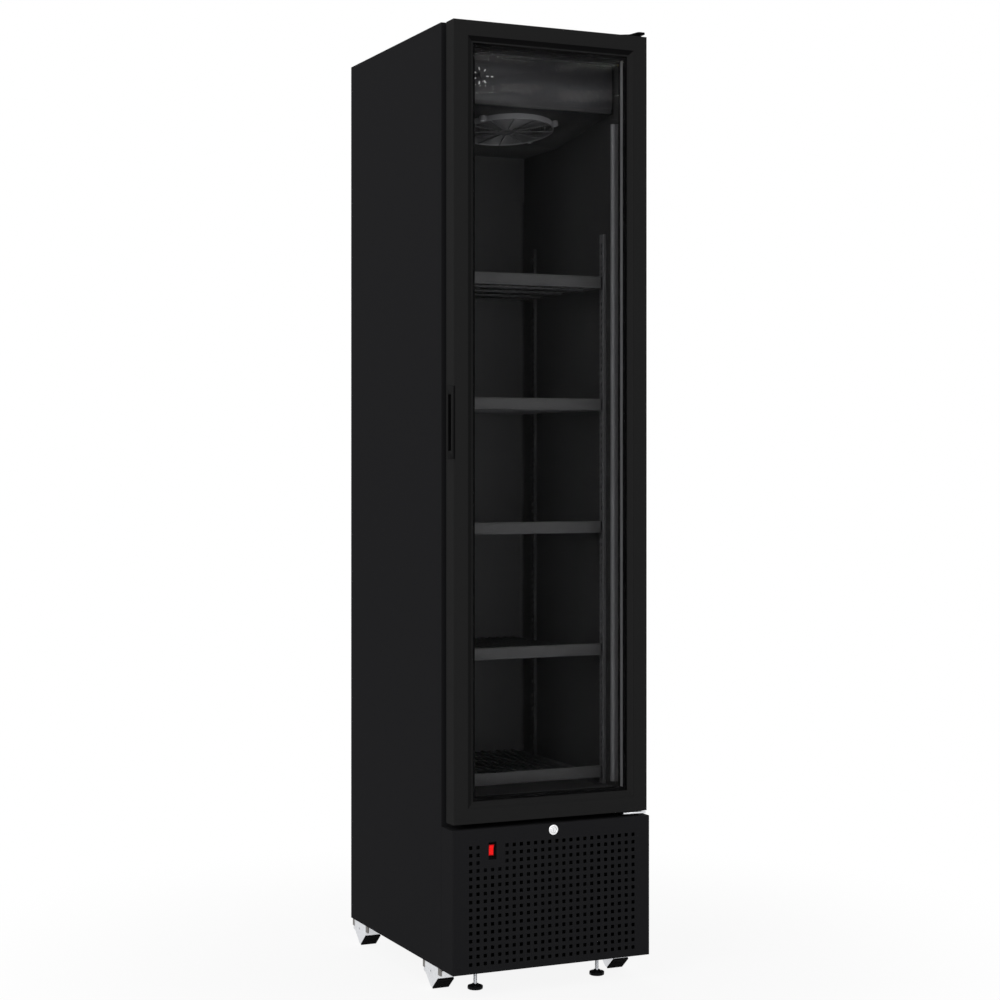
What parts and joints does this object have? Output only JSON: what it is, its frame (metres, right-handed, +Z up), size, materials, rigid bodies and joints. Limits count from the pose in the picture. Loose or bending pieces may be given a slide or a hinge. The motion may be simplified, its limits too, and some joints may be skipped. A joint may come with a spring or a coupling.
{
  "type": "glass door merchandiser",
  "caption": "Tall slim black refrigerated drinks cabinet with a hinged glass door, strip-fronted wire shelves, a top cooling unit, a perforated base panel, and skid and screw feet.",
  "frame": {"origin": "on the floor, under the middle of the cabinet with its door shut", "axes": "+Z is up, +Y points to the back of the cabinet and -Y out of its door, +X is the hinge side, on the right seen from the front"},
  "size_m": [0.46, 0.6014, 2.036],
  "materials": {
    "black_paint": "satin black powder coat",
    "insulation_foam": "rigid foam, hidden inside the walls",
    "black_frame": "satin black extruded plastic",
    "black_liner": "smooth black moulded liner",
    "door_glass": "clear sealed double glass",
    "soft_seal": "soft black magnetic gasket",
    "black_grip": "deep black moulded insert",
    "zinc_plate": "bright zinc plate",
    "black_rubber": "black rubber",
    "foot_plastic": "black foot on a zinc plated stud",
    "shelf_wire": "black coated wire",
    "grey_strip": "grey extruded label holder",
    "pilaster_steel": "black coated steel",
    "lamp_cover": "frosted lamp cover, unlit",
    "coil_fins": "thin bright fins",
    "black_plastic": "black moulded plastic",
    "guard_wire": "black coated wire",
    "motor_black": "black enamel",
    "red_lens": "clear red switch lens",
    "chrome_lock": "polished plate"
  },
  "bodies": {
    "cabinet": {"base_pan": "zinc_plate", "base_panel": "black_paint", "bottom_hinge_bracket": "zinc_plate", "compressor": "motor_black", "condensate_pan": "black_plastic", "condenser_coil": "coil_fins", "condenser_fan_motor": "motor_black", "cord_gland": "black_rubber", "drip_tray": "black_liner", "evaporator_coil": "coil_fins", "evaporator_cover": "black_liner", "evaporator_fan_motor": "motor_black", "face_frame": "black_frame", "fan_guard": "guard_wire", "inner_liner": "black_liner", "insulation": "insulation_foam", "led_lamp": "lamp_cover", "lock_body": "chrome_lock", "pilaster_front_left": "pilaster_steel", "pilaster_front_right": "pilaster_steel", "pilaster_rear_left": "pilaster_steel", "pilaster_rear_right": "pilaster_steel", "price_strip_1": "grey_strip", "price_strip_2": "grey_strip", "price_strip_3": "grey_strip", "price_strip_4": "grey_strip", "price_strip_5": "grey_strip", "rear_panel": "black_paint", "shelf_1": "shelf_wire", "shelf_2": "shelf_wire", "shelf_3": "shelf_wire", "shelf_4": "shelf_wire", "shelf_5": "shelf_wire", "side_panel_left": "black_paint", "side_panel_right": "black_paint", "skid_front_left": "zinc_plate", "skid_front_right": "zinc_plate", "skid_pad_front_left": "black_rubber", "skid_pad_front_right": "black_rubber", "skid_pad_rear_left": "black_rubber", "skid_pad_rear_right": "black_rubber", "skid_rear_left": "zinc_plate", "skid_rear_right": "zinc_plate", "switch_body": "black_plastic", "switch_plate": "black_paint", "thermostat_body": "black_plastic", "top_hinge_bracket": "zinc_plate", "top_panel": "black_paint"},
    "door": {"door_frame": "black_frame", "glass_unit": "door_glass", "door_gasket": "soft_seal", "door_handle": "black_grip"},
    "evaporator_fan": {"evaporator_fan": "black_plastic"},
    "condenser_fan": {"condenser_fan": "black_plastic"},
    "thermostat_knob": {"thermostat_knob": "black_plastic"},
    "rocker": {"rocker": "red_lens"},
    "lock_cylinder": {"lock_cylinder": "chrome_lock"},
    "leveller_left": {"leveller_left": "foot_plastic"},
    "leveller_right": {"leveller_right": "foot_plastic"}
  },
  "joints": [
    {"name": "door_hinge", "type": "hinge", "parent": "cabinet", "child": "door", "pos_m": [0.214, -0.27475, 1.2], "axis": [0, 0, 1], "range_deg": [0, 110]},
    {"name": "evaporator_fan_spin", "type": "hinge", "parent": "cabinet", "child": "evaporator_fan", "pos_m": [0, -0.06225, 1.85234], "axis": [0, 0.1392, 0.9903], "continuous": true},
    {"name": "condenser_fan_spin", "type": "hinge", "parent": "cabinet", "child": "condenser_fan", "pos_m": [0, -0.12325, 0.1733], "axis": [0, 1, 0], "continuous": true},
    {"name": "thermostat_turn", "type": "hinge", "parent": "cabinet", "child": "thermostat_knob", "pos_m": [-0.132, -0.21925, 1.927], "axis": [0, 1, 0], "range_deg": [-135, 135]},
    {"name": "switch_rock", "type": "hinge", "parent": "cabinet", "child": "rocker", "pos_m": [-0.14025, -0.28425, 0.305], "axis": [-1, 0, 0], "range_deg": [0, 14]},
    {"name": "lock_turn", "type": "hinge", "parent": "cabinet", "child": "lock_cylinder", "pos_m": [0, -0.29925, 0.338], "axis": [0, 1, 0], "range_deg": [0, 90]},
    {"name": "leveller_left_screw", "type": "slide", "parent": "cabinet", "child": "leveller_left", "axis": [0, 0, 1], "range_m": [0, 0.012]},
    {"name": "leveller_right_screw", "type": "slide", "parent": "cabinet", "child": "leveller_right", "axis": [0, 0, 1], "range_m": [0, 0.012]}
  ]
}
